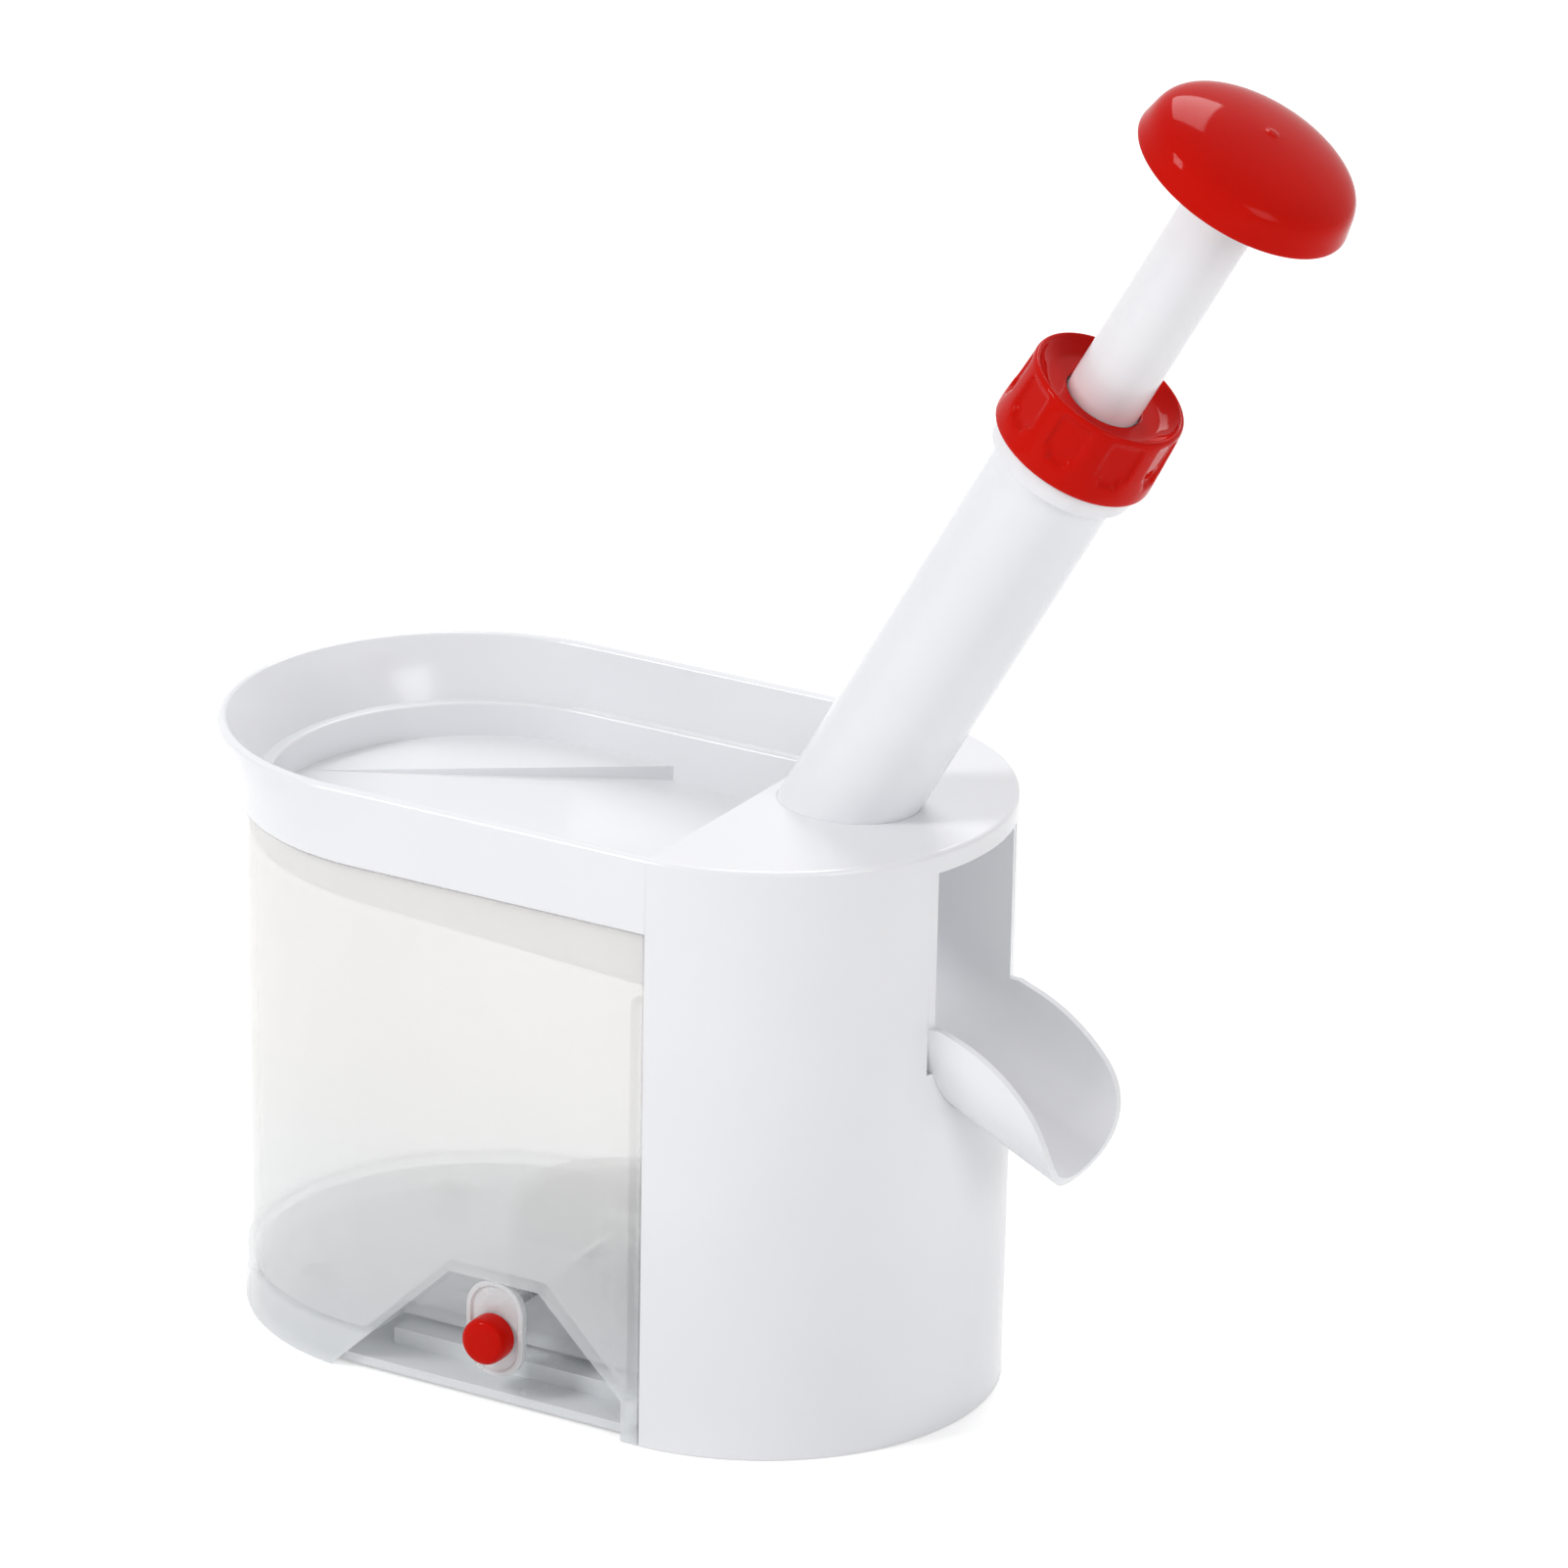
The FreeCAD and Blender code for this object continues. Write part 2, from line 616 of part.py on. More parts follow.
def hopper_tray():
    """Tray with a flared rim, a ledge, a sloping floor and the slot that feeds the seat."""
    body = new_piece("hopper_tray")
    low = "containerTop+bandGap"
    side = "endRadius+sideDraft"
    band = tray_sections(body, "band", [
        (low, "endOffset+endDraft", side),
        (f"{low}+(rimTop-containerTop-bandGap)*0.33", "endOffset+endDraft+rimFlare*0.085", side),
        (f"{low}+(rimTop-containerTop-bandGap)*0.67", "endOffset+endDraft+rimFlare*0.41", side),
        ("rimTop", "endOffset+endDraft+rimFlare", side)])
    lofted(body, "AdditiveLoft", band)
    plug = sketch_on(body, "plug", offset={"z": low})
    outline(plug, left_end("endOffset+endDraft*0.9", "endRadius+sideDraft*0.9-wall-gap", "seamX"))
    grow(body, "Pad", plug, "25", reverse=True)
    slope = "(floorHigh-floorLow)/(rampLeft+seamX)"
    under = sketch_on(body, "under", "XZ_Plane")
    far = "(endOffset+endRadius*1.5)"
    outline(under, [(f"-{far}", "0"), (far, "0"), (far, f"floorLow-wall-{slope}*({far}-seamX)"),
                    (f"-{far}", f"floorLow-wall+{slope}*({far}+seamX)")])
    grow(body, "Pocket", under, "endRadius*3", both=True)
    bowl = tray_sections(body, "bowl", [
        ("ledgeTop", "trayOffset", "trayRadius"),
        ("(ledgeTop+rimTop)/2", "trayOffset+rimFlare*0.22", f"(trayRadius+{side}-rimWall)/2"),
        ("rimTop", "endOffset+endDraft+rimFlare", f"{side}-rimWall")])
    lofted(body, "SubtractiveLoft", bowl)
    basin_radius = "(trayRadius-ledgeWidth)"
    basin = sketch_on(body, "basin", offset={"z": "floorHigh"})
    outline(basin, left_end("trayOffset", basin_radius, "seamX+2"))
    grow(body, "Pocket", basin, "ledgeTop-floorHigh+1", reverse=True)
    # ramp that opens from a point at the far end and falls towards the feed slot
    ramp = sketch_on(body, "ramp", offset={"z": f"floorLow+{slope}*seamX"},
                     turn=(vector(0, 1, 0), f"atan({slope})"))
    mouth = f"{basin_radius}/tan(rampAngle)-rampLeft"
    outline(ramp, [("-rampLeft", "0"), (mouth, f"-{basin_radius}"), ("seamX+2", f"-{basin_radius}"),
                   ("seamX+2", basin_radius), (mouth, basin_radius)])
    grow(body, "Pocket", ramp, "floorHigh-floorLow+1", reverse=True)
    feed = sketch_on(body, "feed", offset={"z": "floorHigh"})
    outline(feed, [("seamX+2", "feedHalf"), ("feedLeft+feedHalf", "feedHalf"), ("feedLeft", "0", "feedHalf"),
                   ("feedLeft+feedHalf", "-feedHalf", "feedHalf"), ("seamX+2", "-feedHalf")])
    grow(body, "Pocket", feed, "20")
    top = number("rimTop")
    side_line = number(f"{side}-rimWall/2")

    def on_rim(edge, outer):
        far = max(-edge.BoundBox.YMin, edge.BoundBox.YMax)
        return level_edges(top)(edge) and edge.BoundBox.XMin < 0 and (far > side_line) == outer

    rounded(body, "rimRound", lambda edge: on_rim(edge, True))
    rounded(body, "rimInnerRound", lambda edge: on_rim(edge, False))
    ledge = number("ledgeTop")
    basin_side = number(basin_radius) + 1

    def on_ledge(edge):
        far = max(-edge.BoundBox.YMin, edge.BoundBox.YMax)
        return level_edges(ledge)(edge) and edge.BoundBox.XMin < 0 and far < basin_side

    rounded(body, "ledgeRound", on_ledge)
    return body


def housing_shell():
    """Right half of the upper body: a wall to the table, the deck and the chute's mouth."""
    body = new_piece("housing_shell")
    foot = sketch_on(body, "foot")
    outline(foot, right_end("endOffset", "endRadius", "seamX"))
    top = sketch_on(body, "top", offset={"z": "rimTop"})
    outline(top, right_end("endOffset", "endRadius+sideDraft", "seamX"))
    lofted(body, "AdditiveLoft", [foot, top])
    inner_low = sketch_on(body, "inner_low")
    outline(inner_low, right_end("endOffset", "endRadius-shellWall", "seamX-1"))
    inner_top = sketch_on(body, "inner_top", offset={"z": "rimTop-deckThick"})
    outline(inner_top, right_end("endOffset", "endRadius+sideDraft-shellWall", "seamX-1"))
    lofted(body, "SubtractiveLoft", [inner_low, inner_top])
    top_height = number("rimTop")
    seam = number("seamX")
    rounded(body, "rimRound", lambda edge: level_edges(top_height)(edge) and edge.BoundBox.XMax > seam + 1)
    # the barrel's hole through the deck
    hole = sketch_on(body, "hole", offset={"x": "footX-40*sin(lean)", "z": "footZ-40*cos(lean)"},
                     turn=(vector(0, 1, 0), "lean"))
    circle(hole, "barrelRadius+looseFit")
    grow(body, "Pocket", hole, "60", reverse=True)
    # the mouth above the chute
    mouth = sketch_on(body, "mouth", "YZ_Plane", offset={"z": "endOffset+endRadius+5"})
    outline(mouth, box_outline("-chuteRadius-looseFit", "chuteRadius+looseFit", "mouthSill-10", "mouthTop"))
    grow(body, "Pocket", mouth, "endRadius*0.6")
    # the round seat that the chute's channel passes through
    channel = sketch_on(body, "channel", offset=chute_start(), turn=(vector(0, 1, 0), "chuteSlope+90"))
    outline(channel, chute_section("chuteRadius+looseFit", "chuteRise"))
    grow(body, "Pocket", channel, "90", reverse=True)
    return body


def chute_start():
    """Place of the chute's round centre at its upper end."""
    return {"x": "chuteStartX+(chuteRadius-wall)*sin(chuteSlope)",
            "z": "chuteStartZ+(chuteRadius-wall)*cos(chuteSlope)"}


def chute_section(radius, rise):
    """U across the chute: in its sketch, x points down and away from the open side."""
    return [(f"-({rise})", f"-({radius})"), ("0", f"-({radius})"), (radius, "0", radius),
            ("0", radius, radius), (f"-({rise})", radius)]


def chute():
    """Round-bottomed channel from the seat out through the mouth to a rounded scoop."""
    body = new_piece("chute")
    turn = (vector(0, 1, 0), "chuteSlope+90")
    run = "(chuteTipX-chuteStartX)/cos(chuteSlope)"
    outer = sketch_on(body, "outer", offset=chute_start(), turn=turn)
    outline(outer, chute_section("chuteRadius", "chuteRadius*3"))
    grow(body, "Pad", outer, f"{run}+20")
    inner = sketch_on(body, "inner", offset=chute_start(), turn=turn)
    outline(inner, chute_section("chuteRadius-wall", "chuteRadius*3+1"))
    grow(body, "Pocket", inner, f"{run}+21", reverse=True)
    # side walls reach the deck inside the shell; outside they follow the scoop's outline
    inside = "endOffset+sqrt((endRadius-shellWall)^2-chuteRadius^2)-gap"
    under_deck = "rimTop-deckThick-looseFit"
    trim = sketch_on(body, "trim", "XZ_Plane")
    outline(trim, [("0", under_deck), (inside, under_deck), (inside, "mouthTop-looseFit"),
                   ("lipX+2", "mouthTop-looseFit"), ("lipX+2", "lipZ"),
                   ("noseX", "noseZ"), ("brinkX", "brinkZ", "-noseRadius"),
                   ("chuteTipX", "chuteTipZ", "-brinkRadius"), ("chuteTipX-12", "chuteTipZ-25"),
                   ("chuteTipX+60", "0"), ("chuteTipX+60", "rimTop*2"), ("0", "rimTop*2")])
    grow(body, "Pocket", trim, "chuteRadius*4", both=True)
    # the side walls end flush with the shell's outside beside the mouth
    flush = sketch_on(body, "flush", offset={"z": "lipZ"})
    reach = "endRadius+sideDraft*lipZ/rimTop"
    side = "chuteRadius*1.4"
    front = f"endOffset+sqrt(({reach})^2-({side})^2)"
    outline(flush, [(front, f"-({side})", f"-({reach})"), ("chuteTipX*2", f"-({side})"),
                    ("chuteTipX*2", side), (front, side)])
    grow(body, "Pocket", flush, "rimTop", reverse=True)
    return body


def barrel_pieces():
    """Barrel with its inner guide ledge, the ring under its collar, and what sits in its bore."""
    lathe("plunger_barrel", [
        ("boreRadius", "barrelBottom"), ("barrelRadius", "barrelBottom"), ("barrelRadius", "barrelTop"),
        ("neckRadius", "barrelTop"), ("neckRadius", neck_top), ("boreRadius", neck_top),
        ("boreRadius", "guideThick"), ("rodRadius+gap", "guideThick"), ("rodRadius+gap", "0"),
        ("boreRadius", "0")])
    ring = lathe("barrel_ring", [
        ("barrelRadius+looseFit", "barrelTop-ringHeight"), ("ringRadius", "barrelTop-ringHeight"),
        ("ringRadius", "barrelTop"), ("barrelRadius+looseFit", "barrelTop")])
    radius = number("ringRadius")
    rounded(ring, "0.8", lambda edge: edge.Curve.TypeId == "Part::GeomCircle"
            and abs(edge.Curve.Radius - radius) < 0.01)
    lathe("spring_washer", [
        ("rodRadius+gap*2", "guideThick"), ("boreRadius-gap", "guideThick"),
        ("boreRadius-gap", "guideThick+1"), ("rodRadius+gap*2", "guideThick+1")])
    lathe("guide_bush", [
        ("shaftRadius+looseFit*2", f"{neck_top}-bushLong"), ("boreRadius-looseFit", f"{neck_top}-bushLong"),
        ("boreRadius-looseFit", neck_top), ("shaftRadius+looseFit*2", neck_top)])
    lathe("stripper_plate", [
        ("needleRadius+gap*2", "barrelBottom"), ("boreRadius-looseFit", "barrelBottom"),
        ("boreRadius-looseFit", "barrelBottom+stripperThick"),
        ("needleRadius+gap*2", "barrelBottom+stripperThick")])


def return_spring():
    """Compression spring between the washer and the piston."""
    body = new_piece("return_spring", leaned=True)
    low = "guideThick+1+wireRadius+looseFit"
    wire = sketch_on(body, "wire", "XZ_Plane")
    circle(wire, "wireRadius", "coilRadius", low)
    helix = body.newObject("PartDesign::AdditiveHelix", "return_spring_helix")
    helix.Profile = wire
    helix.ReferenceAxis = (wire, ["V_Axis"])
    helix.Mode = "height-turns-angle"
    bind(helix, "Height", f"{piston_top}-pistonThick-wireRadius-looseFit-({low})")
    bind(helix, "Turns", "coilTurns")
    doc.recompute()
    return body


def collar_nut():
    """Collar that closes the barrel, with shallow grip panels round its upper part."""
    body = lathe("collar_nut", [
        ("neckRadius+gap", collar_bottom), ("collarRadius", collar_bottom),
        ("collarTopRadius", collar_top), ("collarTopRadius-brimWidth", collar_top),
        ("dishRadius", dish_floor), ("shaftRadius+gap", dish_floor),
        ("shaftRadius+gap", f"{neck_top}+gap"),
        ("neckRadius+gap", f"{neck_top}+gap")])
    rounded(body, "0.8", lambda edge: edge.Curve.TypeId == "Part::GeomCircle"
            and abs(edge.Curve.Radius - number("collarTopRadius")) < 0.01
            or edge.Curve.TypeId == "Part::GeomCircle"
            and abs(edge.Curve.Radius - number("collarRadius")) < 0.01)
    panel = sketch_on(body, "grip", "YZ_Plane", offset={"z": "gripDepth"})
    outline(panel, [("gripHalf", f"{grip_bottom}+gripHalf", "gripHalf"), ("gripHalf", f"{collar_top}+2"),
                    ("-gripHalf", f"{collar_top}+2"), ("-gripHalf", f"{grip_bottom}+gripHalf"),
                    ("0", grip_bottom, "gripHalf")])
    cut = grow(body, "Pocket", panel, "5", reverse=True)
    pattern = body.newObject("PartDesign::PolarPattern", "collar_nut_grips")
    pattern.Originals = [cut]
    axis = [item for item in body.Origin.OriginFeatures if item.Role == "Z_Axis"][0]
    pattern.Axis = (axis, [""])
    pattern.Angle = 360
    bind(pattern, "Occurrences", "gripCount")
    body.Tip = pattern
    doc.recompute()
    return body


def plunger_pieces():
    """Shaft, piston, needle rod, needle, knob and the screw that holds the knob."""
    shaft_top = "knobRim+knobSide+0.5"
    lathe("plunger_shaft", [
        ("shaftRadius-shaftWall", piston_top), ("shaftRadius", piston_top), ("shaftRadius", shaft_top),
        ("1.6", shaft_top), ("1.6", f"{shaft_top}-4"), ("shaftRadius-shaftWall", f"{shaft_top}-4")])
    low = f"{piston_top}-pistonThick"
    lathe("piston_flange", [
        ("0", low), ("boreRadius-gap", low), ("boreRadius-gap", piston_top),
        ("shaftRadius-shaftWall-looseFit", piston_top),
        ("shaftRadius-shaftWall-looseFit", f"{piston_top}+8"), ("0", f"{piston_top}+8")])
    lathe("needle_rod", [
        ("needleRadius+looseFit", "rodBottom"), ("rodRadius-1", "rodBottom"), ("rodRadius", "rodBottom+2"),
        ("rodRadius", low), ("0", low), ("0", "rodBottom+6"), ("needleRadius+looseFit", "rodBottom+6")])
    needle = lathe("pitting_needle", [
        ("0", "needleTip+1"), ("needleRadius-0.6", "needleTip"), ("needleRadius", "needleTip+1"),
        ("needleRadius", "rodBottom+6"), ("0", "rodBottom+6")])
    flute = sketch_on(needle, "flute", offset={"z": "needleTip-1"})
    outline(flute, box_outline("needleRadius*0.45", "needleRadius*2", "needleRadius*0.45", "needleRadius*2"))
    cut = grow(needle, "Pocket", flute, "14", reverse=True)
    pattern = needle.newObject("PartDesign::PolarPattern", "pitting_needle_flutes")
    pattern.Originals = [cut]
    axis = [item for item in needle.Origin.OriginFeatures if item.Role == "Z_Axis"][0]
    pattern.Axis = (axis, [""])
    pattern.Angle = 360
    pattern.Occurrences = 4
    needle.Tip = pattern
    doc.recompute()
    knob_inside = f"{shaft_top}+looseFit"
    knob = lathe("palm_knob", [
        ("0", "knobTop", "knobDome"), ("0", knob_inside), ("shaftRadius+looseFit", knob_inside),
        ("shaftRadius+looseFit", "knobRim-2"), ("shaftRadius+knobWall", "knobRim-2"),
        ("shaftRadius+knobWall", "knobRim+knobSide"),
        ("knobRadius-knobWall-knobTaper", "knobRim+knobSide-1.5"),
        ("knobRadius-knobWall", "knobRim"), ("knobRadius", "knobRim"),
        ("knobRadius-knobTaper", "knobRim+knobSide"),
        ("knobRadius-3", "knobTop-knobDome+sqrt(knobDome^2-(knobRadius-3)^2)", "4.1")])
    hole = sketch_on(knob, "hole", offset={"z": knob_inside})
    circle(hole, "1.3")
    grow(knob, "Pocket", hole, "3", reverse=True)
    lathe("knob_screw", [
        ("0", f"{shaft_top}-6"), ("3.2", f"{shaft_top}-6"), ("3.2", f"{shaft_top}-4"),
        ("1.25", f"{shaft_top}-4"), ("1.25", f"{shaft_top}+2.5"), ("0", f"{shaft_top}+2.5")])


def seat_pieces():
    """Cup that holds one cherry in line with the needle, and its soft ring."""
    seat = lathe("cherry_seat", [
        ("pitHole", "seatBottom"), ("seatRadius-3.4", "seatBottom"), ("seatRadius", "seatBottom+4"),
        ("seatRadius", "seatTop"), ("seatRadius-1.5", "seatTop"), ("seatRadius-1.5", "seatTop-2"),
        ("pitHole+2.2", "seatBottom+2.5"), ("pitHole", "seatBottom+2.5")])
    hanger = sketch_on(seat, "hanger", offset={"z": "seatBottom+4"})
    circle(hanger, "seatRadius")
    circle(hanger, "seatRadius-1.5")
    grow(seat, "Pad", hanger, "22")
    # only the left half is left above the cup, up to the tray's underside
    half = sketch_on(seat, "half", "XZ_Plane")
    outline(half, box_outline("-2", "seatRadius+2", "seatTop", "seatBottom+40"))
    grow(seat, "Pocket", half, "seatRadius*3", both=True)
    drop = "(footZ-floorLow+wall+gap)"
    under = sketch_on(seat, "under", "XZ_Plane", turn=(vector(0, 0, 1), "lean"),
                      offset={"x": f"{drop}*sin(lean)", "y": f"-{drop}*cos(lean)"})
    outline(under, box_outline("-60", "60", "0", "60"))
    level = seat.newObject("PartDesign::Pocket", "cherry_seat_level")
    level.Profile = under
    level.Midplane = True
    bind(level, "Length", "seatRadius*3")
    doc.recompute()
    lathe("seat_ring", [
        ("needleRadius+1", "seatBottom+2.5"), ("pitHole+2", "seatBottom+2.5"),
        ("pitHole+2", "seatBottom+3.4"), ("needleRadius+1", "seatBottom+3.4")])


def check_and_write():
    """Stops on any failed object or bad shape, then writes one file for each piece."""
    doc.recompute()
    for item in doc.Objects:
        if "Invalid" in item.State or "Error" in item.State:
            raise RuntimeError(f"{item.Label} failed: {item.State}")
    os.makedirs("parts", exist_ok=True)
    for piece in pieces:
        if piece.Shape.isNull() or not piece.Shape.isValid():
            raise RuntimeError(f"{piece.Label} has no valid shape")
    for piece in pieces:
        piece.Shape.exportStep(f"parts/{piece.Label}.step")
        box = piece.Shape.BoundBox
        print(f"{piece.Label}: {len(piece.Shape.Solids)} solid, {piece.Shape.Volume:.0f} mm3, "
              f"x {box.XMin:.1f}..{box.XMax:.1f} y {box.YMin:.1f}..{box.YMax:.1f} "
              f"z {box.ZMin:.1f}..{box.ZMax:.1f}")


pit_container()
base_plate()
base_screws()
foot_pads()
suction_cup()
suction_stem()
lever_axle()
lever_cam()
axle_clip()
suction_lever()
lever_button()
hopper_tray()
housing_shell()
chute()
barrel_pieces()
return_spring()
collar_nut()
plunger_pieces()
seat_pieces()
check_and_write()
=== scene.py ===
import json
import math
import bmesh
import bpy
from mathutils import Matrix, Vector


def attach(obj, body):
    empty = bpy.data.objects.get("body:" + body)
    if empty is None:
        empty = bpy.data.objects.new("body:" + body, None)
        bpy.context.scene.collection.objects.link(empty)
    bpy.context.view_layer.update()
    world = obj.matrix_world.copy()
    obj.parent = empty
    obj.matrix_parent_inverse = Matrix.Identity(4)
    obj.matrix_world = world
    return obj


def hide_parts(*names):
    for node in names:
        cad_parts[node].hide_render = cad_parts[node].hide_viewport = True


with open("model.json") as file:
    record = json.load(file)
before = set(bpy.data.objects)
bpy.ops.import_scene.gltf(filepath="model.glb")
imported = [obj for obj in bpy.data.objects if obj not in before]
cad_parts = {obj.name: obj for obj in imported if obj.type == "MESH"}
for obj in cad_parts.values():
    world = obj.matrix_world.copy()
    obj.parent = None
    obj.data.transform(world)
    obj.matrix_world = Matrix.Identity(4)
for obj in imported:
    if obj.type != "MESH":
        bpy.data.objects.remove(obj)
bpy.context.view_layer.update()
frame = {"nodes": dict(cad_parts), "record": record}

# Cherry pitter: white tray and housing, milky pit container on a suction foot,
# red collar and palm knob on a sprung plunger that leans over the chute.

cadNodes = frame["nodes"]
scene = bpy.context.scene
print("frame loaded:", len(cadNodes), "nodes")

# Shader node groups


def newGroup(name, inputs, outputs):
    group = bpy.data.node_groups.new(name, "ShaderNodeTree")
    for label, kind, value in inputs:
        socket = group.interface.new_socket(name=label, in_out="INPUT", socket_type=kind)
        if value is not None:
            socket.default_value = value
    for label, kind in outputs:
        group.interface.new_socket(name=label, in_out="OUTPUT", socket_type=kind)
    source = group.nodes.new("NodeGroupInput")
    sink = group.nodes.new("NodeGroupOutput")
    return group, source.outputs, sink.inputs


def feed(tree, socket, value):
    # a number or colour is set on the socket, an output is linked to it
    if isinstance(value, bpy.types.NodeSocket):
        tree.links.new(value, socket)
    else:
        socket.default_value = value


def mathNode(tree, operation, *values, clamp=False):
    node = tree.nodes.new("ShaderNodeMath")
    node.operation = operation
    node.use_clamp = clamp
    for socket, value in zip(node.inputs, values):
        feed(tree, socket, value)
    return node.outputs[0]


def noiseNode(tree, vector, scale, detail):
    node = tree.nodes.new("ShaderNodeTexNoise")
    node.inputs["Detail"].default_value = detail
    tree.links.new(vector, node.inputs["Vector"])
    feed(tree, node.inputs["Scale"], scale)
    return node.outputs["Fac"]


def rangeNode(tree, value, fromLow, fromHigh, toLow, toHigh):
    node = tree.nodes.new("ShaderNodeMapRange")
    for label, item in (("Value", value), ("From Min", fromLow), ("From Max", fromHigh),
                        ("To Min", toLow), ("To Max", toHigh)):
        feed(tree, node.inputs[label], item)
    return node.outputs["Result"]


def mixColour(tree, factor, first, second, blend="MIX"):
    node = tree.nodes.new("ShaderNodeMix")
    node.data_type = "RGBA"
    node.blend_type = blend
    colourInputs = [s for s in node.inputs if s.type == "RGBA"]
    feed(tree, node.inputs[0], factor)
    feed(tree, colourInputs[0], first)
    feed(tree, colourInputs[1], second)
    return [s for s in node.outputs if s.type == "RGBA"][0]


def stretchNode(tree, vector, scale, turn):
    node = tree.nodes.new("ShaderNodeMapping")
    tree.links.new(vector, node.inputs["Vector"])
    node.inputs["Scale"].default_value = scale
    node.inputs["Rotation"].default_value = turn
    return node.outputs["Vector"]


finishShape = {"toneFrom": (0.35, 0.65), "glossFrom": (0.3, 0.7), "glossScale": 3.7}


def mouldedFinishGroup():
    # slow drift of tone, softer drift of gloss, and a fine skin from the mould
    group, source, sink = newGroup("mouldedFinish", [
        ("Vector", "NodeSocketVector", None),
        ("Colour", "NodeSocketColor", (0.8, 0.8, 0.8, 1)),
        ("Drift Colour", "NodeSocketColor", (0.75, 0.75, 0.75, 1)),
        ("Drift Scale", "NodeSocketFloat", 18.0),
        ("Low Roughness", "NodeSocketFloat", 0.15),
        ("High Roughness", "NodeSocketFloat", 0.25),
        ("Skin Scale", "NodeSocketFloat", 900.0),
    ], [("Colour", "NodeSocketColor"), ("Roughness", "NodeSocketFloat"), ("Height", "NodeSocketFloat")])
    vector = source["Vector"]
    drift = noiseNode(group, vector, source["Drift Scale"], 2.0)
    tone = rangeNode(group, drift, *finishShape["toneFrom"], 0.0, 1.0)
    group.links.new(mixColour(group, tone, source["Colour"], source["Drift Colour"]), sink["Colour"])
    glossScale = mathNode(group, "MULTIPLY", source["Drift Scale"], finishShape["glossScale"])
    smear = noiseNode(group, vector, glossScale, 4.0)
    gloss = rangeNode(group, smear, *finishShape["glossFrom"], source["Low Roughness"],
                      source["High Roughness"])
    group.links.new(gloss, sink["Roughness"])
    group.links.new(noiseNode(group, vector, source["Skin Scale"], 2.0), sink["Height"])
    return group


scratchShape = {
    "turns": ((0.3, 0.2, 0.5), (0.9, -0.4, -0.7)), "stretch": (1.0, 14.0, 2.0), "lineWidth": 0.004,
    "patchScale": 0.7, "patchFrom": 0.56,
}


def hairScratchGroup():
    # thin scratches from handling and washing, in two crossed directions
    group, source, sink = newGroup("hairScratches", [
        ("Vector", "NodeSocketVector", None),
        ("Scale", "NodeSocketFloat", 40.0),
        ("Amount", "NodeSocketFloat", 0.5),
    ], [("Mask", "NodeSocketFloat")])
    masks = []
    for turn in scratchShape["turns"]:
        stretched = stretchNode(group, source["Vector"], scratchShape["stretch"], turn)
        lines = noiseNode(group, stretched, source["Scale"], 1.0)
        centred = mathNode(group, "ABSOLUTE", mathNode(group, "SUBTRACT", lines, 0.5))
        masks.append(mathNode(group, "LESS_THAN", centred, scratchShape["lineWidth"]))
    patchScale = mathNode(group, "MULTIPLY", source["Scale"], scratchShape["patchScale"])
    patches = noiseNode(group, source["Vector"], patchScale, 1.0)
    here = mathNode(group, "GREATER_THAN", patches, scratchShape["patchFrom"])
    both = mathNode(group, "MAXIMUM", masks[0], masks[1])
    seen = mathNode(group, "MULTIPLY", both, here)
    group.links.new(mathNode(group, "MULTIPLY", seen, source["Amount"]), sink["Mask"])
    return group


mouldedFinish = mouldedFinishGroup()
hairScratches = hairScratchGroup()
print("shader groups built")

# Materials


def newMaterial(name):
    material = bpy.data.materials.new(name)
    material.use_nodes = True
    tree = material.node_tree
    shader = tree.nodes["Principled BSDF"]
    place = tree.nodes.new("ShaderNodeTexCoord").outputs["Object"]
    return material, tree, shader, place


def groupNode(tree, group, **values):
    node = tree.nodes.new("ShaderNodeGroup")
    node.node_tree = group
    for label, value in values.items():
        feed(tree, node.inputs[label.replace("_", " ")], value)
    return node


skinDepth = 0.0001     # metres between the skin's hollows and its tops


def bumpNode(tree, height, strength, distance):
    node = tree.nodes.new("ShaderNodeBump")
    node.inputs["Strength"].default_value = strength
    node.inputs["Distance"].default_value = distance
    tree.links.new(height, node.inputs["Height"])
    return node.outputs["Normal"]


def mouldedPlastic(name, look):
    material, tree, shader, place = newMaterial(name)
    finish = groupNode(tree, mouldedFinish, Vector=place, Colour=look["colour"], Drift_Colour=look["drift"],
                       Drift_Scale=look["driftScale"], Low_Roughness=look["roughness"][0],
                       High_Roughness=look["roughness"][1], Skin_Scale=look["skinScale"])
    scratch = groupNode(tree, hairScratches, Vector=place, Scale=look["scratchScale"],
                        Amount=look["scratchAmount"])
    tree.links.new(finish.outputs["Colour"], shader.inputs["Base Color"])
    rough = mathNode(tree, "ADD", finish.outputs["Roughness"], scratch.outputs["Mask"], clamp=True)
    tree.links.new(rough, shader.inputs["Roughness"])
    tree.links.new(bumpNode(tree, finish.outputs["Height"], look["skinStrength"], skinDepth),
                   shader.inputs["Normal"])
    for label, value in look.get("shader", {}).items():
        shader.inputs[label].default_value = value
    return material


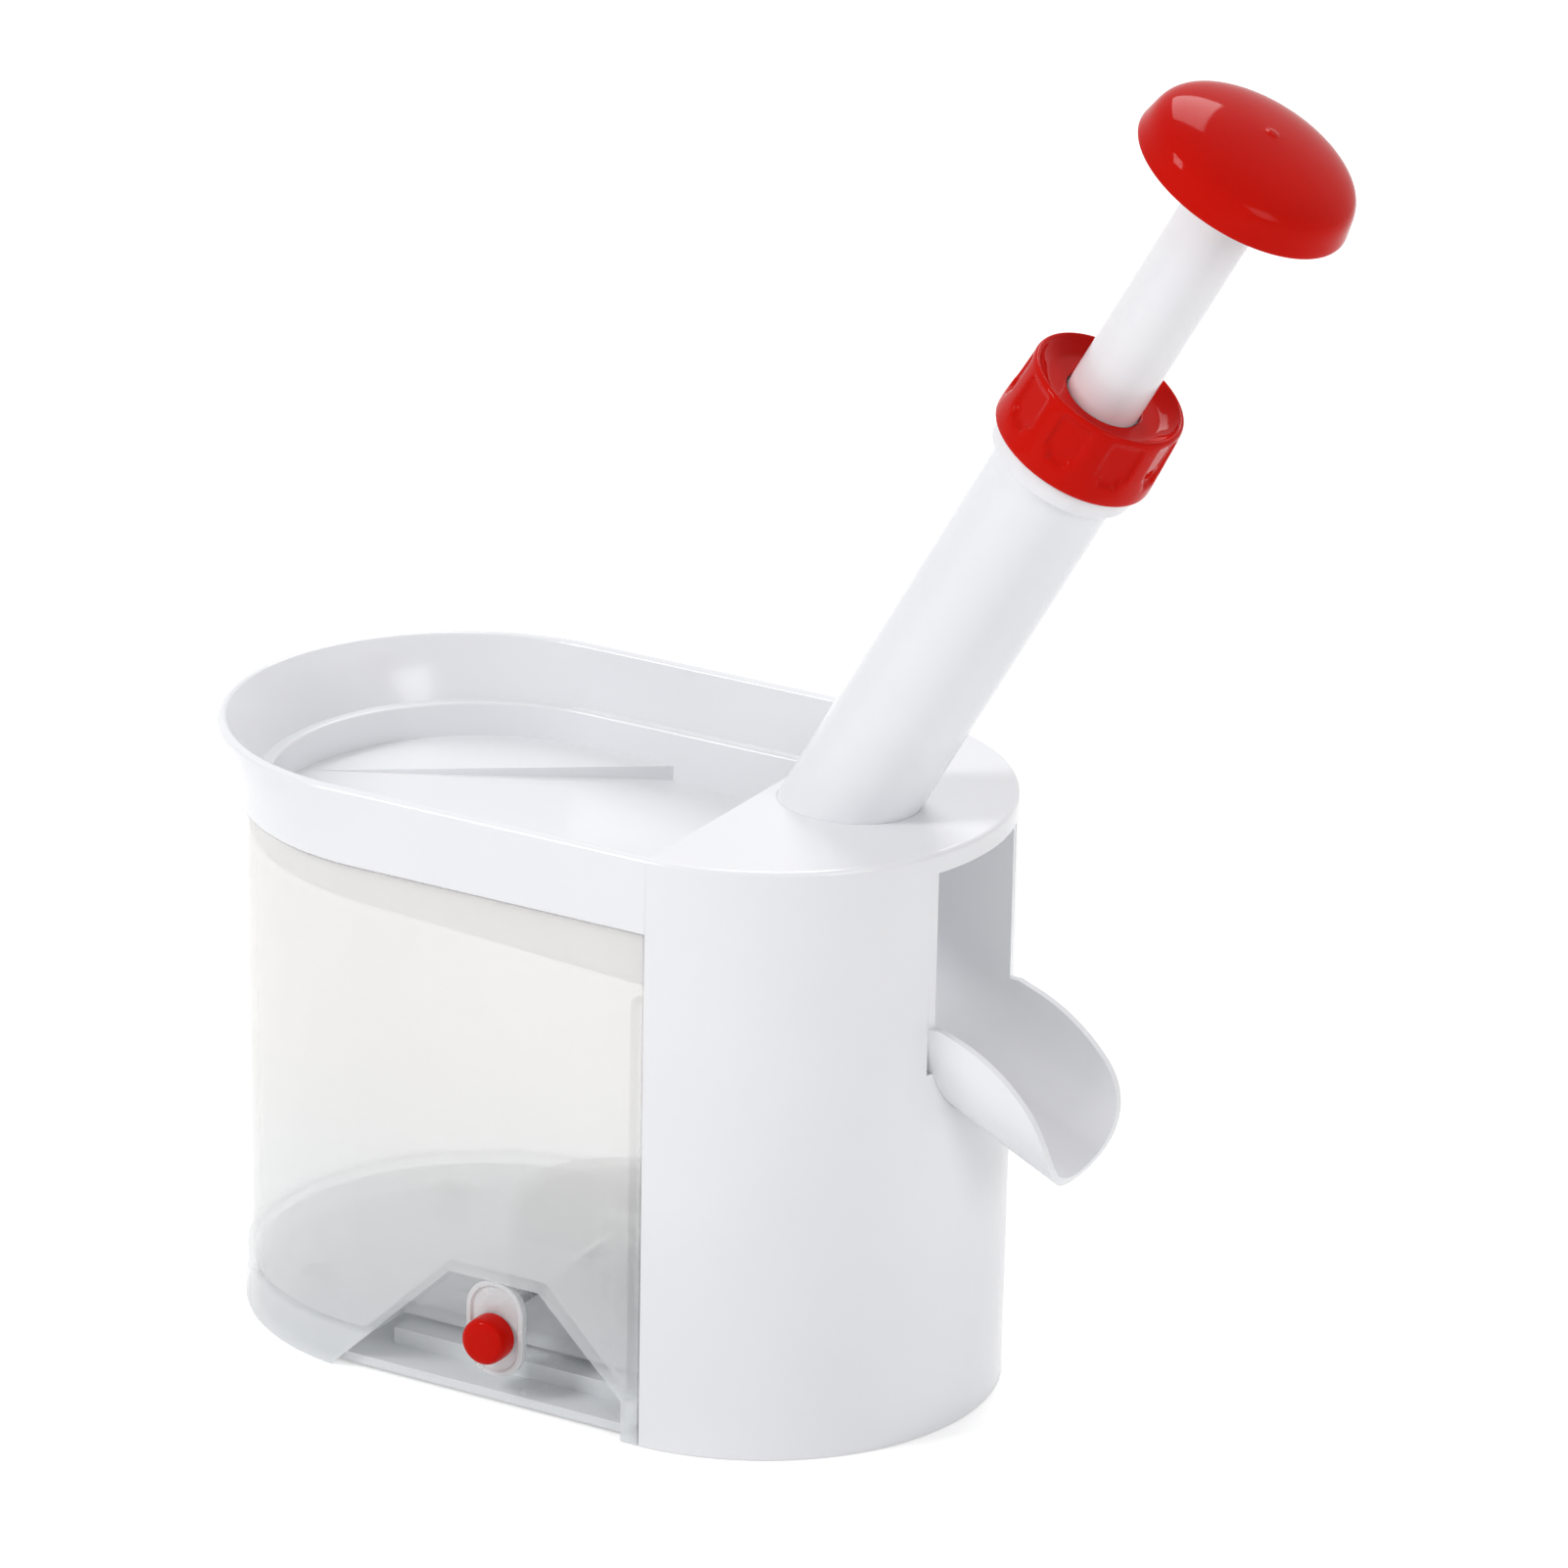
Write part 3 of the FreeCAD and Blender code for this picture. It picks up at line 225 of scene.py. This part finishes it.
whiteLook = {
    "colour": (0.84, 0.845, 0.87, 1), "drift": (0.81, 0.815, 0.845, 1), "driftScale": 14.0,
    "roughness": (0.16, 0.24), "skinScale": 700.0, "skinStrength": 0.05,
    "scratchScale": 45.0, "scratchAmount": 0.02,
    "shader": {"IOR": 1.49},
}
redLook = {
    "colour": (0.57, 0.005, 0.0005, 1), "drift": (0.52, 0.003, 0.0004, 1), "driftScale": 22.0,
    "roughness": (0.05, 0.09), "skinScale": 900.0, "skinStrength": 0.04,
    "scratchScale": 60.0, "scratchAmount": 0.12,
    "shader": {"IOR": 1.15},
}
# painted shade and light on the container wall: low is the darker, cooler colour at the foot and high the
# lighter, warmer one at the mouth; the alpha values set its milkiness
wallShadeAndMilkiness = {
    "low": (0.92, 0.945, 0.97, 1), "high": (1.0, 0.985, 0.965, 1), "heights": (0.0, 0.08),
    "milkyAlpha": 0.5, "clearAlpha": 0.31, "milkyHeights": (0.009, 0.0115),
}


def shadeAndMilkinessByHeight(material, look):
    # painted shade and light: the wall colour is darker and cooler near the foot and lighter and warmer near
    # the mouth; its floor and skirt are milkier
    tree = material.node_tree
    shader = tree.nodes["Principled BSDF"]
    place = tree.nodes.new("ShaderNodeTexCoord").outputs["Object"]
    split = tree.nodes.new("ShaderNodeSeparateXYZ")
    tree.links.new(place, split.inputs[0])
    rise = rangeNode(tree, split.outputs["Z"], *look["heights"], 0.0, 1.0)
    # painted shade towards the foot and painted light towards the mouth, multiplied into the wall colour
    heightShade = mixColour(tree, rise, look["low"], look["high"])
    tree.links.new(rangeNode(tree, split.outputs["Z"], *look["milkyHeights"], look["milkyAlpha"],
                             look["clearAlpha"]), shader.inputs["Alpha"])
    plain = shader.inputs["Base Color"].links[0].from_socket
    tree.links.new(mixColour(tree, 1.0, plain, heightShade, "MULTIPLY"), shader.inputs["Base Color"])


clearLook = {
    "colour": (0.97, 0.965, 0.955, 1), "drift": (0.94, 0.945, 0.95, 1), "driftScale": 9.0,
    "roughness": (0.06, 0.12), "skinScale": 500.0, "skinStrength": 0.03,
    "scratchScale": 35.0, "scratchAmount": 0.10,
    "shader": {"IOR": 1.35},
}
milkyLook = {
    "colour": (0.88, 0.89, 0.90, 1), "drift": (0.84, 0.85, 0.87, 1), "driftScale": 20.0,
    "roughness": (0.22, 0.32), "skinScale": 600.0, "skinStrength": 0.05,
    "scratchScale": 50.0, "scratchAmount": 0.10,
    "shader": {"IOR": 1.45, "Transmission Weight": 0.35},
}
footLook = {
    "colour": (0.88, 0.90, 0.92, 1), "drift": (0.84, 0.865, 0.89, 1), "driftScale": 12.0,
    "roughness": (0.2, 0.3), "skinScale": 600.0, "skinStrength": 0.04,
    "scratchScale": 50.0, "scratchAmount": 0.03,
    "shader": {"IOR": 1.45, "Alpha": 0.82},
}
rubberLook = {
    "colour": (0.55, 0.56, 0.58, 1), "drift": (0.48, 0.49, 0.51, 1), "driftScale": 30.0,
    "roughness": (0.45, 0.6), "skinScale": 400.0, "skinStrength": 0.10,
    "scratchScale": 50.0, "scratchAmount": 0.05,
    "shader": {"IOR": 1.42},
}
siliconeLook = {
    "colour": (0.86, 0.86, 0.85, 1), "drift": (0.80, 0.80, 0.79, 1), "driftScale": 40.0,
    "roughness": (0.42, 0.55), "skinScale": 500.0, "skinStrength": 0.08,
    "scratchScale": 50.0, "scratchAmount": 0.05,
    "shader": {"IOR": 1.41, "Subsurface Weight": 0.1},
}
steelLook = {
    "colour": (0.66, 0.66, 0.67, 1), "drift": (0.58, 0.585, 0.60, 1), "driftScale": 60.0,
    "roughness": (0.22, 0.36), "skinScale": 1500.0, "skinStrength": 0.08,
    "scratchScale": 120.0, "scratchAmount": 0.25,
    "shader": {"Metallic": 1.0},
}
slotMaterials = {
    "white_plastic": mouldedPlastic("whitePlastic", whiteLook),
    "red_plastic": mouldedPlastic("redPlastic", redLook),
    "clear_plastic": mouldedPlastic("milkyContainer", clearLook),
    "milky_plastic": mouldedPlastic("milkyTongue", milkyLook),
    "grey_rubber": mouldedPlastic("greyRubber", rubberLook),
    "silicone": mouldedPlastic("whiteSilicone", siliconeLook),
    "steel": mouldedPlastic("drawnSteel", steelLook),
}
# paints shade and light onto the container wall by height, and sets its milkiness
shadeAndMilkinessByHeight(slotMaterials["clear_plastic"], wallShadeAndMilkiness)
for part in frame["record"]["subparts"]:
    node = cadNodes[part["node"]]
    node.data.materials.clear()
    node.data.materials.append(slotMaterials[part["material_slot"]])
cadNodes["base_plate"].data.materials[0] = mouldedPlastic("milkyFoot", footLook)
print("materials set:", len(slotMaterials))

# Pieces turned on the barrel's line; heights are measured from its foot along the lean

barrelLine = {"foot": (0.0544, 0.0, 0.1331), "lean": 30.0}
barrelPlace = (Matrix.Translation(barrelLine["foot"])
               @ Matrix.Rotation(math.radians(barrelLine["lean"]), 4, "Y"))


def spunProfile(bm, profile, steps):
    # profile points are (radius, height) in millimetres, joined in order,
    # and closed unless they start on the axis
    ring = [bm.verts.new((radius / 1000, 0, height / 1000)) for radius, height in profile]
    edges = [bm.edges.new(pair) for pair in zip(ring, ring[1:])]
    if profile[0][0] > 0:
        edges.append(bm.edges.new((ring[-1], ring[0])))
    bmesh.ops.spin(bm, geom=ring + edges, cent=(0, 0, 0), axis=(0, 0, 1), angle=2 * math.pi,
                   steps=steps, use_merge=True)
    bmesh.ops.remove_doubles(bm, verts=bm.verts, dist=0.000001)
    bmesh.ops.recalc_face_normals(bm, faces=bm.faces)


def sharpenFolds(bm, degrees):
    for edge in bm.edges:
        edge.smooth = edge.calc_face_angle(0) < math.radians(degrees)


def placePiece(bm, name, body, slot, nodes, smoothLevels=0):
    mesh = bpy.data.meshes.new(name)
    bm.to_mesh(mesh)
    bm.free()
    mesh.polygons.foreach_set("use_smooth", [True] * len(mesh.polygons))
    mesh.materials.append(slotMaterials[slot])
    piece = bpy.data.objects.new(name, mesh)
    scene.collection.objects.link(piece)
    if smoothLevels:
        smooth = piece.modifiers.new("smooth", "SUBSURF")
        smooth.levels = smooth.render_levels = smoothLevels
    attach(piece, body)
    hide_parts(*nodes)


knob = {
    "steps": 48, "smoothLevels": 2,
    # nub, dome, shoulder, side, rim, hollow underside and socket
    "profile": [(0, 184.25), (0.9, 184.25), (1.5, 183.95), (2.6, 183.95), (9.0, 183.45), (15.5, 182.15),
                (20.4, 180.25), (22.7, 177.9), (23.3, 174.6), (23.85, 172.2), (23.75, 171.6), (23.3, 171.6),
                (22.0, 171.6), (21.5, 171.7), (21.3, 172.2), (20.7, 175.6), (19.6, 176.6), (12.0, 177.4),
                (11.0, 177.0), (10.7, 176.0), (10.55, 170.4), (10.4, 169.7), (9.9, 169.6), (8.6, 169.6),
                (8.2, 169.7), (8.17, 170.2), (8.17, 177.6), (7.8, 178.05), (0, 178.05)],
}


def buildKnob():
    bm = bmesh.new()
    spunProfile(bm, knob["profile"], knob["steps"])
    bmesh.ops.transform(bm, matrix=barrelPlace, verts=bm.verts)
    placePiece(bm, "knobCap", "plunger", "red_plastic", ["palm_knob"], knob["smoothLevels"])


collar = {
    "grips": 9, "stepsPerGrip": 8, "smoothLevels": 2,
    "profile": [(13.35, 98.8), (13.8, 98.8), (17.2, 98.8), (17.75, 99.0), (17.95, 99.6), (17.88, 101.4),
                (17.75, 103.4), (17.66, 105.2), (17.5, 108.4), (17.36, 111.6), (17.24, 114.2), (17.0, 115.2),
                (16.6, 115.55), (16.1, 115.5), (15.75, 115.1), (15.3, 114.4), (13.2, 113.0), (12.5, 112.72),
                (9.0, 112.7), (8.5, 112.6), (8.42, 112.2), (8.42, 111.4), (8.6, 111.15), (12.9, 111.1),
                (13.3, 110.9), (13.35, 110.4), (13.35, 99.4)],
    "panelLow": 103.0, "panelTop": 114.4, "panelFlat": 16.3, "panelBorder": 0.00035,
    "panelFlatness": 0.08, "outerFrom": 16.8, "wideColumns": 2.6, "narrowColumns": 1.6,
    "fullWidthFrom": 105.0,     # the lowest row of a panel is narrower, so its foot is round
}


def gripFaces(bm, turn):
    # outer faces of one panel: five columns wide, three in the lowest row
    column = 360 / (collar["grips"] * collar["stepsPerGrip"])
    chosen = []
    for face in bm.faces:
        middle = face.calc_center_median()
        height = middle.z * 1000
        across = (math.degrees(math.atan2(middle.y, middle.x)) - turn + 180) % 360 - 180
        columns = collar["wideColumns"] if height > collar["fullWidthFrom"] else collar["narrowColumns"]
        outside = middle.xy.length * 1000 > collar["outerFrom"]
        if (outside and collar["panelLow"] < height < collar["panelTop"]
                and abs(across) < columns * column):
            chosen.append(face)
    return chosen


def buildCollar():
    bm = bmesh.new()
    steps = collar["grips"] * collar["stepsPerGrip"]
    spunProfile(bm, collar["profile"], steps)
    # half a column turned, so that a panel is centred on a face
    bmesh.ops.rotate(bm, verts=bm.verts, cent=(0, 0, 0), matrix=Matrix.Rotation(math.pi / steps, 3, "Z"))
    for grip in range(collar["grips"]):
        turn = grip * 360 / collar["grips"]
        faces = gripFaces(bm, turn)
        bmesh.ops.inset_region(bm, faces=faces, thickness=collar["panelBorder"], depth=0,
                               use_boundary=True, use_even_offset=True)
        inner = list({vert for face in faces for vert in face.verts})
        # flatten the panel to a plane square to its own direction
        toPlane = (Matrix.Translation((-collar["panelFlat"] / 1000, 0, 0))
                   @ Matrix.Rotation(-math.radians(turn), 4, "Z"))
        bmesh.ops.scale(bm, vec=(collar["panelFlatness"], 1, 1), space=toPlane, verts=inner)
    bmesh.ops.transform(bm, matrix=barrelPlace, verts=bm.verts)
    placePiece(bm, "gripCollar", "collar", "red_plastic", ["collar_nut"], collar["smoothLevels"])


button = {
    "steps": 40, "smoothLevels": 2, "centre": (0.0, -0.0522, 0.0166),
    "profile": [(0, 5.55), (3.4, 5.5), (4.3, 5.35), (4.85, 4.95), (5.15, 4.2), (5.25, 2.6), (5.25, 0.4),
                (5.1, 0.02), (4.6, 0.0), (0, 0.0)],
}


def buildButton():
    bm = bmesh.new()
    spunProfile(bm, button["profile"], button["steps"])
    facing = Matrix.Translation(button["centre"]) @ Matrix.Rotation(math.radians(90), 4, "X")
    bmesh.ops.transform(bm, matrix=facing, verts=bm.verts)
    placePiece(bm, "pushButton", "lever", "red_plastic", ["lever_button"], button["smoothLevels"])


tongue = {
    "width": 14.0, "high": 29.0, "low": 7.0, "front": -52.2, "thick": 2.0,
    "rimWidth": 0.0011, "rimDepth": 0.0005, "rounding": 0.0003, "boss": (3.6, 4.0), "axleHeight": 21.5,
    "bossSink": 0.0001, "steps": 48, "bossSteps": 32, "roundingSteps": 3, "outerFold": 60, "shadeFold": 20,
}


def buildTongue():
    # flat plate with a round foot and a raised rim, and the boss that takes the axle
    bm = bmesh.new()
    half = tongue["width"] / 2000
    bmesh.ops.create_circle(bm, segments=tongue["steps"], radius=half)
    # half a step round, so that no corner lies at mid height, and then stood up
    halfStep = math.pi / tongue["steps"]
    bmesh.ops.rotate(bm, verts=bm.verts, cent=(0, 0, 0), matrix=Matrix.Rotation(halfStep, 3, "Z"))
    bmesh.ops.rotate(bm, verts=bm.verts, cent=(0, 0, 0), matrix=Matrix.Rotation(math.pi / 2, 3, "X"))
    lowCentre = tongue["low"] / 1000 + half
    highCentre = tongue["high"] / 1000 - half
    for vert in bm.verts:
        vert.co.z += highCentre if vert.co.z > 0 else lowCentre
    bmesh.ops.contextual_create(bm, geom=bm.edges)
    plate = bmesh.ops.extrude_face_region(bm, geom=bm.faces[:])
    front = [item for item in plate["geom"] if isinstance(item, bmesh.types.BMFace)]
    frontVerts = [item for item in plate["geom"] if isinstance(item, bmesh.types.BMVert)]
    bmesh.ops.translate(bm, verts=frontVerts, vec=(0, -tongue["thick"] / 1000, 0))
    bmesh.ops.recalc_face_normals(bm, faces=bm.faces)
    bmesh.ops.inset_region(bm, faces=front, thickness=tongue["rimWidth"], depth=0)
    bmesh.ops.inset_region(bm, faces=front, thickness=tongue["rimDepth"], depth=-tongue["rimDepth"])
    fold = math.radians(tongue["outerFold"])
    outer = [edge for edge in bm.edges if edge.is_manifold and edge.calc_face_angle(0) > fold]
    bmesh.ops.bevel(bm, geom=outer, offset=tongue["rounding"], segments=tongue["roundingSteps"],
                    profile=0.5, affect="EDGES", material=-1)
    back = (tongue["front"] + tongue["thick"]) / 1000
    bmesh.ops.translate(bm, verts=bm.verts, vec=(0, back, 0))
    radius, length = (value / 1000 for value in tongue["boss"])
    boss = bmesh.ops.create_cone(bm, cap_ends=True, segments=tongue["bossSteps"], radius1=radius,
                                 radius2=radius, depth=length)
    centre = (0, back + length / 2 - tongue["bossSink"], tongue["axleHeight"] / 1000)
    stand = Matrix.Translation(centre) @ Matrix.Rotation(math.pi / 2, 4, "X")
    bmesh.ops.transform(bm, matrix=stand, verts=boss["verts"])
    sharpenFolds(bm, tongue["shadeFold"])
    placePiece(bm, "rimmedTongue", "lever", "milky_plastic", ["suction_lever"])


buildKnob()
buildCollar()
buildTongue()
buildButton()
print("knob, collar, tongue and button built")

# Floor, world and lights

studio = {"floorSize": 6.0, "floorDrop": 0.0002, "floorColour": (0.9, 0.9, 0.9, 1), "floorGlow": 0.32,
          "floorRoughness": 0.8, "floorShine": 0.1, "worldStrength": 0.52}
productMiddle = (0.02, 0.0, 0.14)
lamps = {
    "keyLight": {"place": (-0.9, -1.2, 1.3), "target": productMiddle, "size": (0.44, 0.6), "power": 15.0},
    "fillLight": {"place": (1.4, -0.6, 0.7), "target": productMiddle, "size": (0.6, 0.6), "power": 4.6},
    "windowLight": {"place": (-0.35, 1.15, 1.65), "target": (0.14, 0.0, 0.28), "size": (0.75, 0.85),
                    "power": 12.0},
}


def whiteRays(tree):
    # 1 for rays that should see the plain white backdrop
    path = tree.nodes.new("ShaderNodeLightPath").outputs
    seen = mathNode(tree, "MAXIMUM", path["Is Camera Ray"], path["Is Glossy Ray"])
    return mathNode(tree, "MAXIMUM", seen, path["Is Transmission Ray"])


def buildWorld():
    world = bpy.data.worlds.new("studioWorld")
    scene.world = world
    world.use_nodes = True
    tree = world.node_tree
    background = tree.nodes["Background"]
    strength = rangeNode(tree, whiteRays(tree), 0.0, 1.0, studio["worldStrength"], 1.0)
    background.inputs["Color"].default_value = (1, 1, 1, 1)
    tree.links.new(strength, background.inputs["Strength"])


def buildFloor():
    bm = bmesh.new()
    bmesh.ops.create_grid(bm, x_segments=1, y_segments=1, size=studio["floorSize"] / 2)
    bmesh.ops.translate(bm, verts=bm.verts, vec=(0, 0, -studio["floorDrop"]))
    mesh = bpy.data.meshes.new("floor")
    bm.to_mesh(mesh)
    bm.free()
    floor = bpy.data.objects.new("floor", mesh)
    scene.collection.objects.link(floor)
    material, tree, shader = newMaterial("paleFloor")[:3]
    shader.inputs["Base Color"].default_value = studio["floorColour"]
    shader.inputs["Roughness"].default_value = studio["floorRoughness"]
    shader.inputs["Specular IOR Level"].default_value = studio["floorShine"]
    shader.inputs["Emission Color"].default_value = (1, 1, 1, 1)
    glow = mathNode(tree, "MULTIPLY", whiteRays(tree), studio["floorGlow"])
    tree.links.new(glow, shader.inputs["Emission Strength"])
    mesh.materials.append(material)


def areaLight(name, place, target, size, power):
    data = bpy.data.lights.new(name, "AREA")
    data.shape = "RECTANGLE"
    data.size, data.size_y = size
    data.energy = power
    lamp = bpy.data.objects.new(name, data)
    scene.collection.objects.link(lamp)
    lamp.location = place
    lamp.rotation_mode = "QUATERNION"
    lamp.rotation_quaternion = (Vector(target) - Vector(place)).to_track_quat("-Z", "Y")


buildWorld()
buildFloor()
for name, lamp in lamps.items():
    areaLight(name, lamp["place"], lamp["target"], lamp["size"], lamp["power"])

# Camera at the photograph's angle

shot = {"place": (0.9476, -1.5832, 0.8255), "azimuth": 29.88, "elevation": 20.79, "roll": 1.125,
        "lens": 214.3, "sensorWidth": 36.0, "clip": (0.05, 30.0)}


def buildCamera():
    azimuth, elevation, roll = (math.radians(shot[key]) for key in ("azimuth", "elevation", "roll"))
    ahead = Vector((-math.sin(azimuth) * math.cos(elevation), math.cos(azimuth) * math.cos(elevation),
                    -math.sin(elevation)))
    right = Vector((math.cos(azimuth), math.sin(azimuth), 0))
    up = right.cross(ahead)
    tiltedRight = math.cos(roll) * right + math.sin(roll) * up
    tiltedUp = -math.sin(roll) * right + math.cos(roll) * up
    data = bpy.data.cameras.new("photoCamera")
    data.lens = shot["lens"]
    data.sensor_width = shot["sensorWidth"]
    data.clip_start, data.clip_end = shot["clip"]
    camera = bpy.data.objects.new("photoCamera", data)
    scene.collection.objects.link(camera)
    turn = Matrix((tiltedRight, tiltedUp, -ahead)).transposed()
    camera.matrix_world = Matrix.Translation(shot["place"]) @ turn.to_4x4()
    scene.camera = camera


buildCamera()
scene.view_settings.view_transform = "Standard"
print("stage, lights and camera ready")
